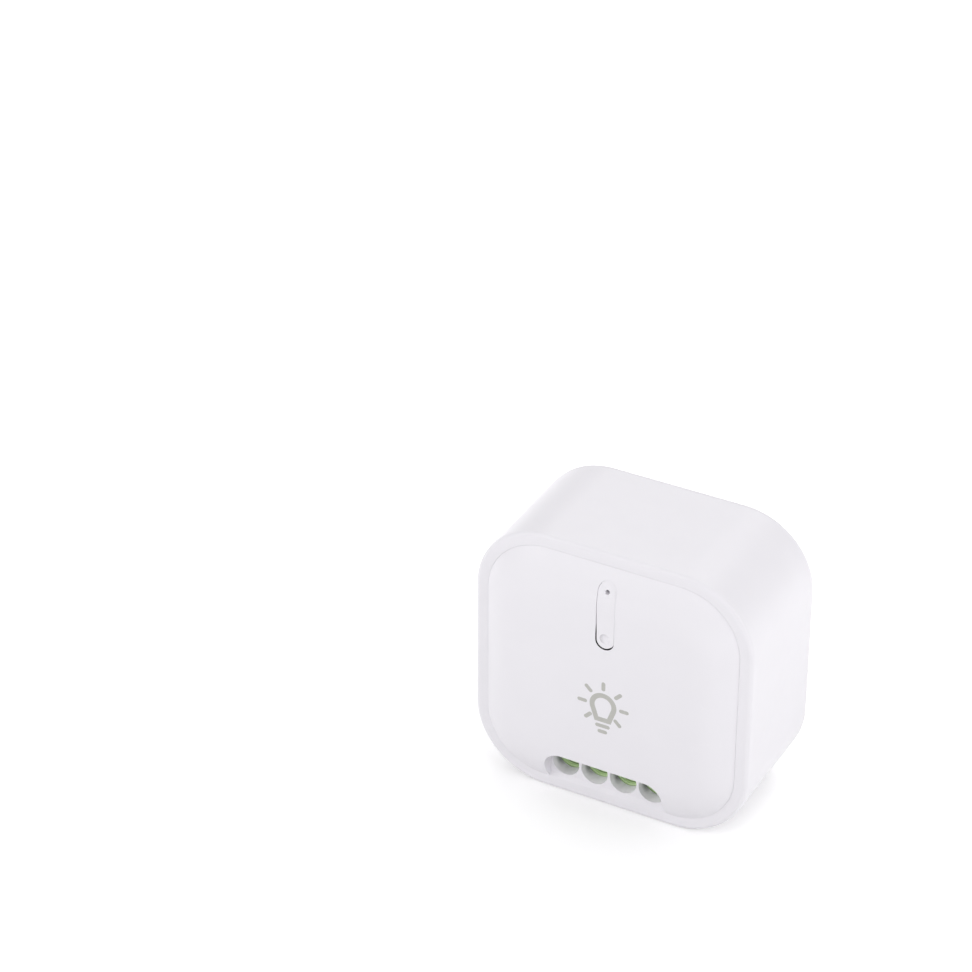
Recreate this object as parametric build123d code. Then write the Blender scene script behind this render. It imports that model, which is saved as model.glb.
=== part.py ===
from build123d import *

import os
from math import atan2, degrees, radians, sin, sqrt

# Wireless switch module: a palm-sized switch that is wired into a lighting circuit.
# A deep square housing is closed by a pillow-shaped cover that snaps into its rim. The cover carries a
# rocking key and a row of wire entries. Behind them a terminal block, a relay, a small mains supply and
# a radio board stand on one main board.
# Millimetres. X runs to the right, Y to the back and Z up. The module stands on its lower side, and the
# origin is the middle of the foot of its bounding box.

# Overall form
SIDE = 47.0  # width and height of the square front
BODY_DEPTH = 23.4  # from the housing's rim to its back
CORNER_R = 12.3  # outer corners, seen from the front
CROWN = 2.4  # the cover's flat top stands this far in front of the rim
FLANK_R = 10.0  # arc from the flat top down to the rim

# Housing
WALL = 2.15
BACK_WALL = 1.8
RIM_EDGE_R = 0.7
BACK_EDGE_R = 1.8
POST_R = 2.0
POST_INSET = 6.35  # posts stand this far from the inner walls
PEG_R = 0.9
PEG_HEAD_R = 1.5
PEG_HEAD = 0.6
LEDGE_WIDTH = 1.5  # ribs that stop the cover's skirt
LEDGE_DEPTH = 1.3
LEDGE_OFFSET = 8.0
ACCESS_R = 1.7  # screwdriver holes under the terminal screws
BLOCK_POCKET = 0.9  # the terminal block sinks this far into the lower wall

# Front cover
SEAM_GAP = 0.04
COVER_WALL = 1.6
SKIRT = 4.0  # the skirt reaches this far behind the rim
SNAP_LENGTH = 8.0
SNAP_R = 0.45
SNAP_PLAY = 0.12

# Wire entries
POLES = 4
POLE_PITCH = 5.0
ENTRY_R = 2.3
ENTRY_HEIGHT = 5.45  # axis of the entries above the foot
ENTRY_LENGTH = 2.2
RECESS_FLOOR = 0.3  # the recess floor lies this far behind the rim
RECESS_MARGIN = 0.45  # floor beside the outer entries
RECESS_HEADROOM = 0.7  # floor above the entries
RECESS_CORNER_R = 3.0

# Key
KEY_WIDTH = 2.9
KEY_FOOT_WIDTH = 2.7
KEY_LENGTH = 11.5
KEY_DROP = 4.0  # key below the top side
KEY_WALL = 1.6
KEY_GAP = 0.12
KEY_SINK = 0.1  # the upper end rests this far below the cover
LIGHT_HOLE_R = 0.38
LIGHT_DROP = 1.59  # light hole below the top of the key
DIMPLE_R = 0.85
DIMPLE_DEPTH = 0.4
DIMPLE_RISE = 1.7  # dimple above the lower end of the key
PIVOT_DEPTH = 3.7  # pivot behind the front of the cover
PIVOT_R = 0.6
PIVOT_PLAY = 0.05
FORK_WALL = 0.42
FORK_HEIGHT = 2.4
EAR_WALL = 1.3
EAR_PLAY = 0.15
EAR_HEIGHT = 2.4
EAR_SLOT = 0.9
NUB_R = 0.8
NUB_LENGTH = 1.7
KEY_ANGLE = 2.5  # degrees from rest to fully pressed

# Terminal block and its clamps
BLOCK_GAP = 0.2  # between the wire entries and the block
BLOCK_DEPTH = 12.7
BLOCK_HEIGHT = 9.2
BLOCK_END = 0.3  # wall outside the outer poles, past half a pitch
BLOCK_PLAY = 0.1
BLOCK_FRONT = 2.1
FUNNEL_R = 2.1  # wide mouth of a wire hole
FUNNEL = 0.7
WIRE_R = 1.7
WELL_R = 1.5
CAGE_PLAY = 0.1
CAGE_WIDTH = 3.8
CAGE_LENGTH = 6.2
CAGE_SIDE = 0.6
CAGE_TOP = 0.8
CAGE_NUT = 1.4
CAGE_FLOOR = 1.25  # underside of the cage above the underside of the block
CHANNEL_HEIGHT = 3.5
TAIL_WIDTH = 1.0
PLATE_PLAY = 0.12
PLATE = 0.35
SCREW_R = 1.25
SCREW_PLAY = 0.05
SCREW_LENGTH = 2.65
SCREW_TIP_GAP = 0.04
SCREW_SLOT = 0.5
SCREW_SLOT_DEPTH = 0.7

# Main board
BOARD = 1.6
BOARD_GAP = 0.6
HOLE_PLAY = 0.12
LEAD = 0.6  # square leads
LEAD_OUT = 1.4

# Push switch, light and light pipe
SWITCH_SIDE = 6.0
SWITCH_HEIGHT = 3.6
PLUNGER_R = 1.6
PLUNGER_PLAY = 0.1
PLUNGER_SEAT = 1.4
PRESS_GAP = 0.05
LED_WIDTH = 1.6
LED_DEPTH = 0.8
PIPE_R = 0.8
PIPE_FOOT_R = 1.9
PIPE_FOOT = 2.4
PIPE_GAP = 0.5

# Parts on the board: boxes give width, height along the front, and how far they stand out
PART_GAP = 0.9
EDGE_GAP = 1.3  # parts stay this far inside the board's edge
PART_EDGE = 0.4  # chamfer on box-shaped parts
RELAY = (7.2, 18.0, 12.5)
RELAY_LEADS = (5.0, 14.0)
FILM_CAP = (5.0, 13.0, 11.0)
FILM_LEADS = 10.0
VARISTOR_R = 3.7
VARISTOR = 3.4
VARISTOR_EDGE = 1.0
VARISTOR_LEADS = 5.0
FUSE_R = 1.6
FUSE_LENGTH = 8.5
FUSE_LOOP = 2.6
FUSE_RISE = 1.2
CORE = (12.0, 11.6, 4.6)
CORE_YOKE = 2.2
CORE_LEG = 2.0
CORE_POST = 3.6
COIL_OUT = 9.4
COIL_PLAY = 0.12
COIL_FLANGE = 0.8
COIL_GROOVE = 0.6
COIL_LEADS = 5.6
BULK_R = 3.5
BULK_LENGTH = 11.0
BULK_LEADS = 3.5
OUTPUT_R = 3.15
OUTPUT_LENGTH = 8.0
OUTPUT_LEADS = 2.5
CAN_EDGE = 0.5
CAN_NECK = 1.4
CAN_GROOVE = 0.4
CAN_GROOVE_WIDTH = 0.8
CHOKE_R = 2.5
CHOKE_LENGTH = 7.5
CHOKE_FLANGE = 1.2
CHOKE_GROOVE = 0.5
CHOKE_LEADS = 4.0
RADIO_BOARD = (14.0, 0.8, 10.0)
RADIO_INSET = 1.5
RADIO_CHIP = (4.0, 0.9, 4.0)
CRYSTAL = (2.5, 0.8, 3.2)
ANTENNA_R = 0.5
ANTENNA_GAP = 0.6
CHIP_RISE = 3.5  # chips behind the board, above its middle
CONTROLLER = (9.9, 3.9, 1.5)
CONTROLLER_X = 2.0
RECTIFIER = (4.6, 3.9, 2.3)
RECTIFIER_X = -7.4

# Places that follow from the sizes
front_y = -(BODY_DEPTH + CROWN) / 2
rim_y = front_y + CROWN
back_y = rim_y + BODY_DEPTH
mid_z = SIDE / 2
inner_half = SIDE / 2 - WALL
inner_corner = CORNER_R - WALL
cover_half = inner_half - SEAM_GAP
cover_corner = inner_corner - SEAM_GAP
cover_foot = mid_z - cover_half
flank_run = sqrt(FLANK_R**2 - (FLANK_R - CROWN) ** 2)
skirt_y = rim_y + SKIRT
floor_y = rim_y + RECESS_FLOOR
entry_y = floor_y + ENTRY_LENGTH
block_y = entry_y + BLOCK_GAP
board_y = block_y + BLOCK_DEPTH
board_back = board_y + BOARD
board_half = inner_half - BOARD_GAP
cavity_back = back_y - BACK_WALL
pole_x = [(i - (POLES - 1) / 2) * POLE_PITCH for i in range(POLES)]
recess_half = pole_x[-1] + ENTRY_R + RECESS_MARGIN
recess_top = ENTRY_HEIGHT + ENTRY_R + RECESS_HEADROOM
block_half = POLES * POLE_PITCH / 2 + BLOCK_END
pocket_z = WALL - BLOCK_POCKET
block_foot = pocket_z + BLOCK_PLAY
cage_y = block_y + BLOCK_FRONT + CAGE_PLAY
cage_foot = block_foot + CAGE_FLOOR
channel_foot = cage_foot + CAGE_NUT
channel_top = channel_foot + CHANNEL_HEIGHT
cage_top = channel_top + CAGE_TOP
channel_half = CAGE_WIDTH / 2 - CAGE_SIDE
screw_y = cage_y + CAGE_LENGTH / 2
plate_foot = channel_foot + PLATE_PLAY
screw_tip = plate_foot - SCREW_TIP_GAP
key_top = SIDE - KEY_DROP
key_foot = key_top - KEY_LENGTH
light_z = key_top - LIGHT_DROP
dimple_z = key_foot + DIMPLE_RISE
pivot_y = front_y + PIVOT_DEPTH
fork_half = KEY_WIDTH / 2
ear_x = KEY_WIDTH / 2 + KEY_GAP + EAR_PLAY
nub_y = front_y + KEY_WALL + NUB_LENGTH
key_end_gap = KEY_GAP + PIVOT_DEPTH * sin(radians(KEY_ANGLE))
press_travel = (light_z - dimple_z) * sin(radians(KEY_ANGLE))
post_half = inner_half - POST_INSET
pegged_posts = [(-post_half, mid_z + post_half), (post_half, mid_z - post_half)]
plain_posts = [(-post_half, mid_z - post_half), (post_half, mid_z + post_half)]


def face_plane(y):
    """Plane parallel to the front at depth y, with its axes along X and Z."""
    return Plane(origin=(0, y, 0), x_dir=(1, 0, 0), z_dir=(0, -1, 0))


def drawn(sketch, y0, y1):
    """Sketch in front-view coordinates, extruded from depth y0 back to y1."""
    return extrude(face_plane(y0) * sketch, amount=y0 - y1)


def block(x0, x1, y0, y1, z0, z1):
    """Box between two opposite corners."""
    return Pos((x0 + x1) / 2, (y0 + y1) / 2, (z0 + z1) / 2) * Box(x1 - x0, y1 - y0, z1 - z0)


def rod_x(radius, x0, x1, y, z):
    """Round bar along X."""
    return Pos((x0 + x1) / 2, y, z) * Rot(0, 90, 0) * Cylinder(radius, x1 - x0)


def rod_y(radius, y0, y1, x, z):
    """Round bar along Y."""
    return Pos(x, (y0 + y1) / 2, z) * Rot(90, 0, 0) * Cylinder(radius, y1 - y0)


def rod_z(radius, z0, z1, x, y):
    """Round bar along Z."""
    return Pos(x, y, (z0 + z1) / 2) * Cylinder(radius, z1 - z0)


def front_prism(half, corner, y0, y1):
    """Rounded square about the middle of the front, from depth y0 back to y1."""
    return drawn(Pos(0, mid_z) * RectangleRounded(2 * half, 2 * half, corner), y0, y1)


def front_edges(solid):
    """Edges of the foremost face."""
    return solid.faces().sort_by(Axis.Y)[0].edges()


def back_edges(solid):
    """Edges of the rearmost face."""
    return solid.faces().sort_by(Axis.Y)[-1].edges()


def pillow(inset, end_y):
    """Cover form shrunk by inset: a flat top with arched flanks, cut off square at the seam."""
    spare = FLANK_R - flank_run
    arched = front_prism(
        cover_half + spare - inset, cover_corner + spare - inset, front_y + inset, front_y + 2 * FLANK_R
    )
    arched = fillet(front_edges(arched), FLANK_R - inset)
    return arched & front_prism(cover_half - inset, cover_corner - inset, front_y + inset, end_y)


def pillow_depth(z, inset):
    """Depth of the pillow's surface, shrunk by inset, at height z on its middle line."""
    past_flat = max(0, z - mid_z - cover_half + flank_run)
    return front_y + FLANK_R - sqrt((FLANK_R - inset) ** 2 - past_flat**2)


def upright_slot(width, foot, top):
    """Slot with round ends in the front view."""
    return Pos(0, (foot + top) / 2) * SlotOverall(top - foot, width, rotation=90)


def snap_ridges(radius):
    """Round ridges along the left, top and right sides of the cover's skirt."""
    y = (rim_y + skirt_y) / 2
    reach = cover_half - SNAP_R / 4
    ridges = [rod_x(radius, -SNAP_LENGTH / 2, SNAP_LENGTH / 2, y, mid_z + reach)]
    for x in (-reach, reach):
        ridges.append(rod_z(radius, mid_z - SNAP_LENGTH / 2, mid_z + SNAP_LENGTH / 2, x, y))
    return ridges


def housing():
    """Deep square cup with board posts, cover ledges, snap grooves and screwdriver holes."""
    body = front_prism(SIDE / 2, CORNER_R, rim_y, back_y)
    body = fillet(back_edges(body), BACK_EDGE_R)
    body = fillet(front_edges(body), RIM_EDGE_R)
    body -= front_prism(inner_half, inner_corner, rim_y, cavity_back)
    for x, z in pegged_posts + plain_posts:
        body += rod_y(POST_R, board_back, cavity_back, x, z)
    for x, z in pegged_posts:
        body += rod_y(PEG_R, board_y - PEG_HEAD, board_back, x, z)
        body += rod_y(PEG_HEAD_R, board_y - PEG_HEAD, board_y, x, z)
    ledge_y = (skirt_y + SEAM_GAP, board_y - PEG_HEAD)
    for offset in (-LEDGE_OFFSET, LEDGE_OFFSET):
        span = (offset - LEDGE_WIDTH / 2, offset + LEDGE_WIDTH / 2)
        top = mid_z + inner_half
        body += block(*span, *ledge_y, top - LEDGE_DEPTH, top)
        for side in (-inner_half, inner_half - LEDGE_DEPTH):
            body += block(side, side + LEDGE_DEPTH, *ledge_y, mid_z + span[0], mid_z + span[1])
    for ridge in snap_ridges(SNAP_R + SNAP_PLAY):
        body -= ridge
    room = block_half + BLOCK_PLAY
    body -= block(-room, room, block_y - BLOCK_PLAY, board_y, pocket_z, WALL)
    for x in pole_x:
        body -= rod_z(ACCESS_R, 0, WALL, x, screw_y)
    return body


def front_cover():
    """Pillow-shaped cap with the wire-entry recess, the key's opening and its pivot ears."""
    cap = pillow(0, skirt_y) - pillow(COVER_WALL, skirt_y)
    pad_half = recess_half + COVER_WALL
    pad = block(-pad_half, pad_half, front_y, entry_y, cover_foot, recess_top + COVER_WALL)
    cap += pad & pillow(0, entry_y)
    cap -= drawn(recess_outline(), front_y, floor_y)
    for x in pole_x:
        cap -= rod_y(ENTRY_R, floor_y, entry_y, x, ENTRY_HEIGHT)
    notch = block_half + BLOCK_GAP
    cap -= block(-notch, notch, entry_y, skirt_y, cover_foot, cover_foot + COVER_WALL)
    for ridge in snap_ridges(SNAP_R):
        cap += ridge
    for side in (-1, 1):
        cap += pivot_ear(side)
    opening = upright_slot(KEY_WIDTH + 2 * KEY_GAP, key_foot - key_end_gap, key_top + KEY_GAP)
    return cap - drawn(opening, front_y, skirt_y)


def recess_outline():
    """Front view of the wire-entry recess: open at the seam, with rounded upper corners."""
    tall = recess_top - cover_foot
    outline = Pos(0, recess_top - tall / 2) * Rectangle(2 * recess_half, tall)
    return fillet(outline.vertices().group_by(Axis.Y)[-1], RECESS_CORNER_R)


def pivot_ear(side):
    """Ear behind the cover that holds one trunnion, with a slot for snapping it in."""
    low, high = sorted((side * ear_x, side * (ear_x + EAR_WALL)))
    hole_r = PIVOT_R + PIVOT_PLAY
    back = pivot_y + 2 * hole_r
    ear = block(low, high, front_y, back, light_z - EAR_HEIGHT / 2, light_z + EAR_HEIGHT / 2)
    ear &= pillow(COVER_WALL / 2, back)
    ear -= rod_x(hole_r, low, high, pivot_y, light_z)
    return ear - block(low, high, pivot_y, back, light_z - EAR_SLOT / 2, light_z + EAR_SLOT / 2)


def key_outline():
    """Front view of the key: a strip with round ends that narrows towards its foot."""
    ends = Pos(0, key_top - KEY_WIDTH / 2) * Circle(KEY_WIDTH / 2)
    ends += Pos(0, key_foot + KEY_FOOT_WIDTH / 2) * Circle(KEY_FOOT_WIDTH / 2)
    return make_hull(ends.edges())


def button_key():
    """Rocking key: a strip of the pillow, sunk at its upper end, with a fork, trunnions and a nub."""
    strip = pillow(0, rim_y) - pillow(KEY_WALL, rim_y)
    tilt = degrees(atan2(KEY_SINK, KEY_LENGTH))
    strip = strip.rotate(Axis((0, front_y, key_foot), (1, 0, 0)), -tilt)
    outline = drawn(key_outline(), front_y - CROWN, skirt_y)
    key = strip & outline
    back = pivot_y + PIVOT_R
    plate = pillow_depth(light_z + FORK_HEIGHT / 2, 0) + KEY_SINK + KEY_WALL / 4
    for side in (-1, 1):
        low, high = sorted((side * fork_half, side * (fork_half - FORK_WALL)))
        arm = block(low, high, plate, back, light_z - FORK_HEIGHT / 2, light_z + FORK_HEIGHT / 2)
        key += arm & outline
        tip = side * (ear_x + EAR_WALL)
        key += rod_x(PIVOT_R, *sorted((side * (fork_half - FORK_WALL), tip)), pivot_y, light_z)
    key += rod_y(NUB_R, front_y + KEY_WALL, nub_y, 0, dimple_z)
    key -= rod_y(LIGHT_HOLE_R, front_y, pivot_y, 0, light_z)
    ball_r = (DIMPLE_R**2 + DIMPLE_DEPTH**2) / (2 * DIMPLE_DEPTH)
    sunk = front_y + KEY_SINK * DIMPLE_RISE / KEY_LENGTH
    return key - Pos(0, sunk + DIMPLE_DEPTH - ball_r, dimple_z) * Sphere(ball_r)


def terminal_block():
    """Moulded block with a stepped wire hole, a clamp chamber and a screw well for each pole."""
    body = block(-block_half, block_half, block_y, board_y, block_foot, block_foot + BLOCK_HEIGHT)
    half = CAGE_WIDTH / 2 + CAGE_PLAY
    for x in pole_x:
        chamber_y = block_y + BLOCK_FRONT
        body -= block(x - half, x + half, chamber_y, board_y, cage_foot - CAGE_PLAY, cage_top + CAGE_PLAY)
        body -= rod_y(FUNNEL_R, block_y, block_y + FUNNEL, x, ENTRY_HEIGHT)
        body -= rod_y(WIRE_R, block_y, chamber_y, x, ENTRY_HEIGHT)
        body -= rod_z(WELL_R, block_foot, cage_foot, x, screw_y)
    return body


def clamp_cage(x):
    """Square cage with a threaded floor for the screw and a tail that is soldered to the board."""
    half = CAGE_WIDTH / 2
    cage = block(x - half, x + half, cage_y, cage_y + CAGE_LENGTH, cage_foot, cage_top)
    cage -= block(
        x - channel_half, x + channel_half, cage_y, cage_y + CAGE_LENGTH, channel_foot, channel_top
    )
    cage -= rod_z(SCREW_R + SCREW_PLAY, cage_foot, channel_foot, x, screw_y)
    tail = TAIL_WIDTH / 2
    return cage + block(
        x - tail, x + tail, cage_y + CAGE_LENGTH, board_back + LEAD_OUT, channel_top, cage_top
    )


def pressure_plate(x):
    """Flat leaf that the screw lifts against the wire."""
    half = channel_half - PLATE_PLAY
    y0, y1 = cage_y + PLATE_PLAY, cage_y + CAGE_LENGTH - PLATE_PLAY
    return block(x - half, x + half, y0, y1, plate_foot, plate_foot + PLATE)


def terminal_screw(x):
    """Headless slotted screw that runs in the cage's floor."""
    foot = screw_tip - SCREW_LENGTH
    screw = rod_z(SCREW_R, foot, screw_tip, x, screw_y)
    slot = SCREW_SLOT / 2
    return screw - block(
        x - SCREW_R, x + SCREW_R, screw_y - slot, screw_y + slot, foot, foot + SCREW_SLOT_DEPTH
    )


def pair(x, z, pitch):
    """Two lead places, one above the other."""
    return [(x, z - pitch / 2), (x, z + pitch / 2)]


def corners(x, z, wide, tall):
    """Four lead places at the corners of a rectangle."""
    return pair(x - wide / 2, z, tall) + pair(x + wide / 2, z, tall)


# Layout of the board's front, in rows above the terminal block
row_z = block_foot + BLOCK_HEIGHT + PART_GAP
part_half = board_half - EDGE_GAP
relay_x = -part_half + RELAY[0] / 2
relay_z = row_z + RELAY[1] / 2
film_x = relay_x + RELAY[0] / 2 + PART_GAP + FILM_CAP[0] / 2
film_z = row_z + FILM_CAP[1] / 2
varistor_x = film_x + FILM_CAP[0] / 2 + PART_GAP + VARISTOR / 2
varistor_z = row_z + VARISTOR_R
fuse_z = varistor_z + VARISTOR_R + PART_GAP + FUSE_R
core_x = part_half - CORE[0] / 2
core_z = row_z + CORE[1] / 2
core_y = board_y - COIL_OUT / 2
coil_half = CORE[0] / 2 - CORE_YOKE - COIL_PLAY
choke_x = part_half - CHOKE_R
bulk_x = choke_x - CHOKE_R - PART_GAP - BULK_R
bulk_z = core_z + CORE[1] / 2 + PART_GAP + BULK_R
output_x = -(SWITCH_SIDE / 2 + PART_GAP + OUTPUT_R)
output_z = relay_z + RELAY[1] / 2 + PART_GAP + OUTPUT_R
radio_x = part_half - RADIO_BOARD[0]
radio_z = bulk_z + BULK_R + PART_GAP
radio_top = radio_z + RADIO_BOARD[1]
radio_y = board_y - RADIO_BOARD[2] / 2

relay_leads = corners(relay_x, relay_z, *RELAY_LEADS) + [(relay_x, relay_z)]
film_leads = pair(film_x, film_z, FILM_LEADS)
varistor_leads = pair(varistor_x, varistor_z, VARISTOR_LEADS)
fuse_leads = [(varistor_x, fuse_z), (varistor_x + FUSE_LOOP, fuse_z)]
coil_leads = corners(core_x, core_z, 2 * coil_half - COIL_FLANGE, COIL_LEADS)
bulk_leads = pair(bulk_x, bulk_z, BULK_LEADS)
output_leads = pair(output_x, output_z, OUTPUT_LEADS)
choke_leads = pair(choke_x, bulk_z, CHOKE_LEADS)
supply_leads = film_leads + varistor_leads + fuse_leads + coil_leads + bulk_leads + output_leads + choke_leads


def main_board():
    """Square board with holes for the posts, the clamp tails and the leads."""
    board = front_prism(board_half, inner_corner - BOARD_GAP, board_y, board_back)
    for x, z in pegged_posts:
        board -= rod_y(PEG_R + HOLE_PLAY, board_y, board_back, x, z)
    half = TAIL_WIDTH / 2 + HOLE_PLAY
    for x in pole_x:
        board -= block(x - half, x + half, board_y, board_back, channel_top - HOLE_PLAY, cage_top + HOLE_PLAY)
    for x, z in relay_leads + supply_leads:
        board -= lead(x, z, board_y, board_back, HOLE_PLAY)
    return board


def lead(x, z, y0, y1, play=0):
    """Square lead along Y, or its hole in the board with some play."""
    half = LEAD / 2 + play
    return block(x - half, x + half, y0, y1, z - half, z + half)


def with_leads(body, places, start_y=board_y):
    """Body fused with a straight lead through the board at each place."""
    for x, z in places:
        body += lead(x, z, start_y, board_back + LEAD_OUT)
    return body


def box_part(size, x, z):
    """Box centred at (x, z) that stands out from the board, with chamfered front edges."""
    wide, tall, out = size
    body = block(x - wide / 2, x + wide / 2, board_y - out, board_y, z - tall / 2, z + tall / 2)
    return chamfer(front_edges(body), PART_EDGE)


def varistor():
    """Disc varistor on edge, with its two leads."""
    mid_y = board_y - VARISTOR_R
    disc = rod_x(VARISTOR_R, varistor_x - VARISTOR / 2, varistor_x + VARISTOR / 2, mid_y, varistor_z)
    disc = chamfer(disc.edges().filter_by(GeomType.CIRCLE), VARISTOR_EDGE)
    return with_leads(disc, varistor_leads, mid_y)


def fuse_resistor():
    """Fusible resistor on end, with one lead bent back to the board."""
    tip = board_y - FUSE_LENGTH
    (x0, z0), (x1, z1) = fuse_leads
    body = with_leads(rod_y(FUSE_R, tip, board_y, x0, z0), fuse_leads[:1])
    over = tip - FUSE_RISE
    half = LEAD / 2
    bridge = block(x0 - half, x1 + half, over, over + LEAD, z0 - half, z1 + half)
    return body + lead(x0, z0, over, tip) + bridge + lead(x1, z1, over, board_back + LEAD_OUT)


def transformer_core():
    """Ferrite frame with a middle post, as two E-shaped halves make when they are closed."""
    wide, tall, deep = CORE
    y0, y1 = core_y - deep / 2, core_y + deep / 2
    frame = block(core_x - wide / 2, core_x + wide / 2, y0, y1, core_z - tall / 2, core_z + tall / 2)
    window = wide / 2 - CORE_YOKE
    near, far = CORE_POST / 2, tall / 2 - CORE_LEG
    for low, high in ((near, far), (-far, -near)):
        frame -= block(core_x - window, core_x + window, y0, y1, core_z + low, core_z + high)
    return frame


def transformer_coil():
    """Bobbin around the core's middle post, with its winding between two flanges."""
    far = CORE[1] / 2 - CORE_LEG - COIL_PLAY
    y0, y1 = board_y - COIL_OUT, board_y
    coil = block(core_x - coil_half, core_x + coil_half, y0, y1, core_z - far, core_z + far)
    wound = (core_x - coil_half + COIL_FLANGE, core_x + coil_half - COIL_FLANGE)
    near = far - COIL_GROOVE
    winding = block(*wound, y0 + COIL_GROOVE, y1 - COIL_GROOVE, core_z - near, core_z + near)
    winding = fillet(winding.edges().filter_by(Axis.X), COIL_GROOVE)
    coil -= block(*wound, y0, y1, core_z - far, core_z + far) - winding
    post_z = (core_z - CORE_POST / 2 - COIL_PLAY, core_z + CORE_POST / 2 + COIL_PLAY)
    post_y = (core_y - CORE[2] / 2 - COIL_PLAY, core_y + CORE[2] / 2 + COIL_PLAY)
    coil -= block(core_x - coil_half, core_x + coil_half, *post_y, *post_z)
    return with_leads(coil, coil_leads)


def rolled_can(radius, length, x, z):
    """Electrolytic capacitor on end, with a rolled groove above its seal and a bevelled top rim."""
    can = chamfer(front_edges(rod_y(radius, board_y - length, board_y, x, z)), CAN_EDGE)
    groove_y = (board_y - CAN_NECK - CAN_GROOVE_WIDTH, board_y - CAN_NECK)
    return can - (rod_y(radius, *groove_y, x, z) - rod_y(radius - CAN_GROOVE, *groove_y, x, z))


def choke():
    """Drum-core choke with its winding between two flanges."""
    tip = board_y - CHOKE_LENGTH
    drum = rod_y(CHOKE_R - CHOKE_GROOVE, tip, board_y, choke_x, bulk_z)
    drum += rod_y(CHOKE_R, tip, tip + CHOKE_FLANGE, choke_x, bulk_z)
    drum += rod_y(CHOKE_R, board_y - CHOKE_FLANGE, board_y, choke_x, bulk_z)
    return with_leads(drum, choke_leads)


def radio_board():
    """Small radio board that stands on edge."""
    wide, thick, out = RADIO_BOARD
    return block(radio_x, radio_x + wide, board_y - out, board_y, radio_z, radio_z + thick)


def on_radio_board(size, x):
    """Box part that lies on the radio board, with its left side at x."""
    wide, tall, deep = size
    return block(x, x + wide, radio_y - deep / 2, radio_y + deep / 2, radio_top, radio_top + tall)


def antenna_wire():
    """Wire antenna that hangs from the radio board beside the right wall."""
    x = inner_half - LEDGE_DEPTH - ANTENNA_GAP - ANTENNA_R
    y = board_y - RADIO_BOARD[2] + RADIO_INSET
    return rod_z(ANTENNA_R, row_z, radio_z, x, y)


def behind_board(size, x):
    """Chip soldered to the board's back, centred at x."""
    wide, tall, deep = size
    z = mid_z + CHIP_RISE
    return block(x - wide / 2, x + wide / 2, board_back, board_back + deep, z - tall / 2, z + tall / 2)


def switch_body():
    """Square push switch below the key's nub, with a bore for its plunger."""
    half = SWITCH_SIDE / 2
    top = board_y - SWITCH_HEIGHT
    body = block(-half, half, top, board_y, dimple_z - half, dimple_z + half)
    bore = PLUNGER_SEAT + press_travel + PLUNGER_PLAY
    return body - rod_y(PLUNGER_R + PLUNGER_PLAY, top, top + bore, 0, dimple_z)


def switch_plunger():
    """Long plunger that reaches from the push switch to the key's nub."""
    top = board_y - SWITCH_HEIGHT
    return rod_y(PLUNGER_R, nub_y + PRESS_GAP, top + PLUNGER_SEAT, 0, dimple_z)


def status_led():
    """Light that shows through the key."""
    half, rise = LED_WIDTH / 2, LED_DEPTH / 2
    return block(-half, half, board_y - LED_DEPTH, board_y, light_z - rise, light_z + rise)


def light_pipe():
    """Clear rod with a hollow foot over the light; its tip ends behind the key."""
    foot = rod_y(PIPE_FOOT_R, board_y - PIPE_FOOT, board_y, 0, light_z)
    foot -= rod_y((PIPE_R + PIPE_FOOT_R) / 2, board_y - PIPE_FOOT / 2, board_y, 0, light_z)
    tip = pillow_depth(light_z + PIPE_R, KEY_WALL) + KEY_SINK + PIPE_GAP
    return foot + rod_y(PIPE_R, tip, board_y - PIPE_FOOT, 0, light_z)


chip_x = radio_x + RADIO_INSET
parts = {
    "housing": housing(),
    "front_cover": front_cover(),
    "button_key": button_key(),
    "light_pipe": light_pipe(),
    "status_led": status_led(),
    "switch_body": switch_body(),
    "switch_plunger": switch_plunger(),
    "main_board": main_board(),
    "terminal_block": terminal_block(),
    "clamp_cages": Compound([clamp_cage(x) for x in pole_x]),
    "relay": with_leads(box_part(RELAY, relay_x, relay_z), relay_leads),
    "film_capacitor": with_leads(box_part(FILM_CAP, film_x, film_z), film_leads),
    "varistor": varistor(),
    "fuse_resistor": fuse_resistor(),
    "transformer_core": transformer_core(),
    "transformer_coil": transformer_coil(),
    "bulk_capacitor": with_leads(rolled_can(BULK_R, BULK_LENGTH, bulk_x, bulk_z), bulk_leads),
    "output_capacitor": with_leads(rolled_can(OUTPUT_R, OUTPUT_LENGTH, output_x, output_z), output_leads),
    "choke": choke(),
    "rectifier": behind_board(RECTIFIER, RECTIFIER_X),
    "controller_chip": behind_board(CONTROLLER, CONTROLLER_X),
    "radio_board": radio_board(),
    "radio_chip": on_radio_board(RADIO_CHIP, chip_x),
    "crystal": on_radio_board(CRYSTAL, chip_x + RADIO_CHIP[0] + PART_GAP),
    "antenna_wire": antenna_wire(),
}
for number, x in enumerate(pole_x, start=1):
    parts[f"pressure_plate_{number}"] = pressure_plate(x)
    parts[f"terminal_screw_{number}"] = terminal_screw(x)

os.makedirs("parts", exist_ok=True)
for name, solid in parts.items():
    export_step(solid, f"parts/{name}.step")
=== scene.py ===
"""Looks of a wireless switch module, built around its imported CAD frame.

Laid out as an add-on and run as a script. Metres, in the frame's axes: X to the right, Y to the back
and Z up.
"""

from math import acos, atan2, cos, hypot, pi, radians, sin

import bmesh
import bpy
from bpy.props import FloatProperty, FloatVectorProperty, IntProperty, PointerProperty
from mathutils import Matrix, Vector
from mathutils.bvhtree import BVHTree


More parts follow.
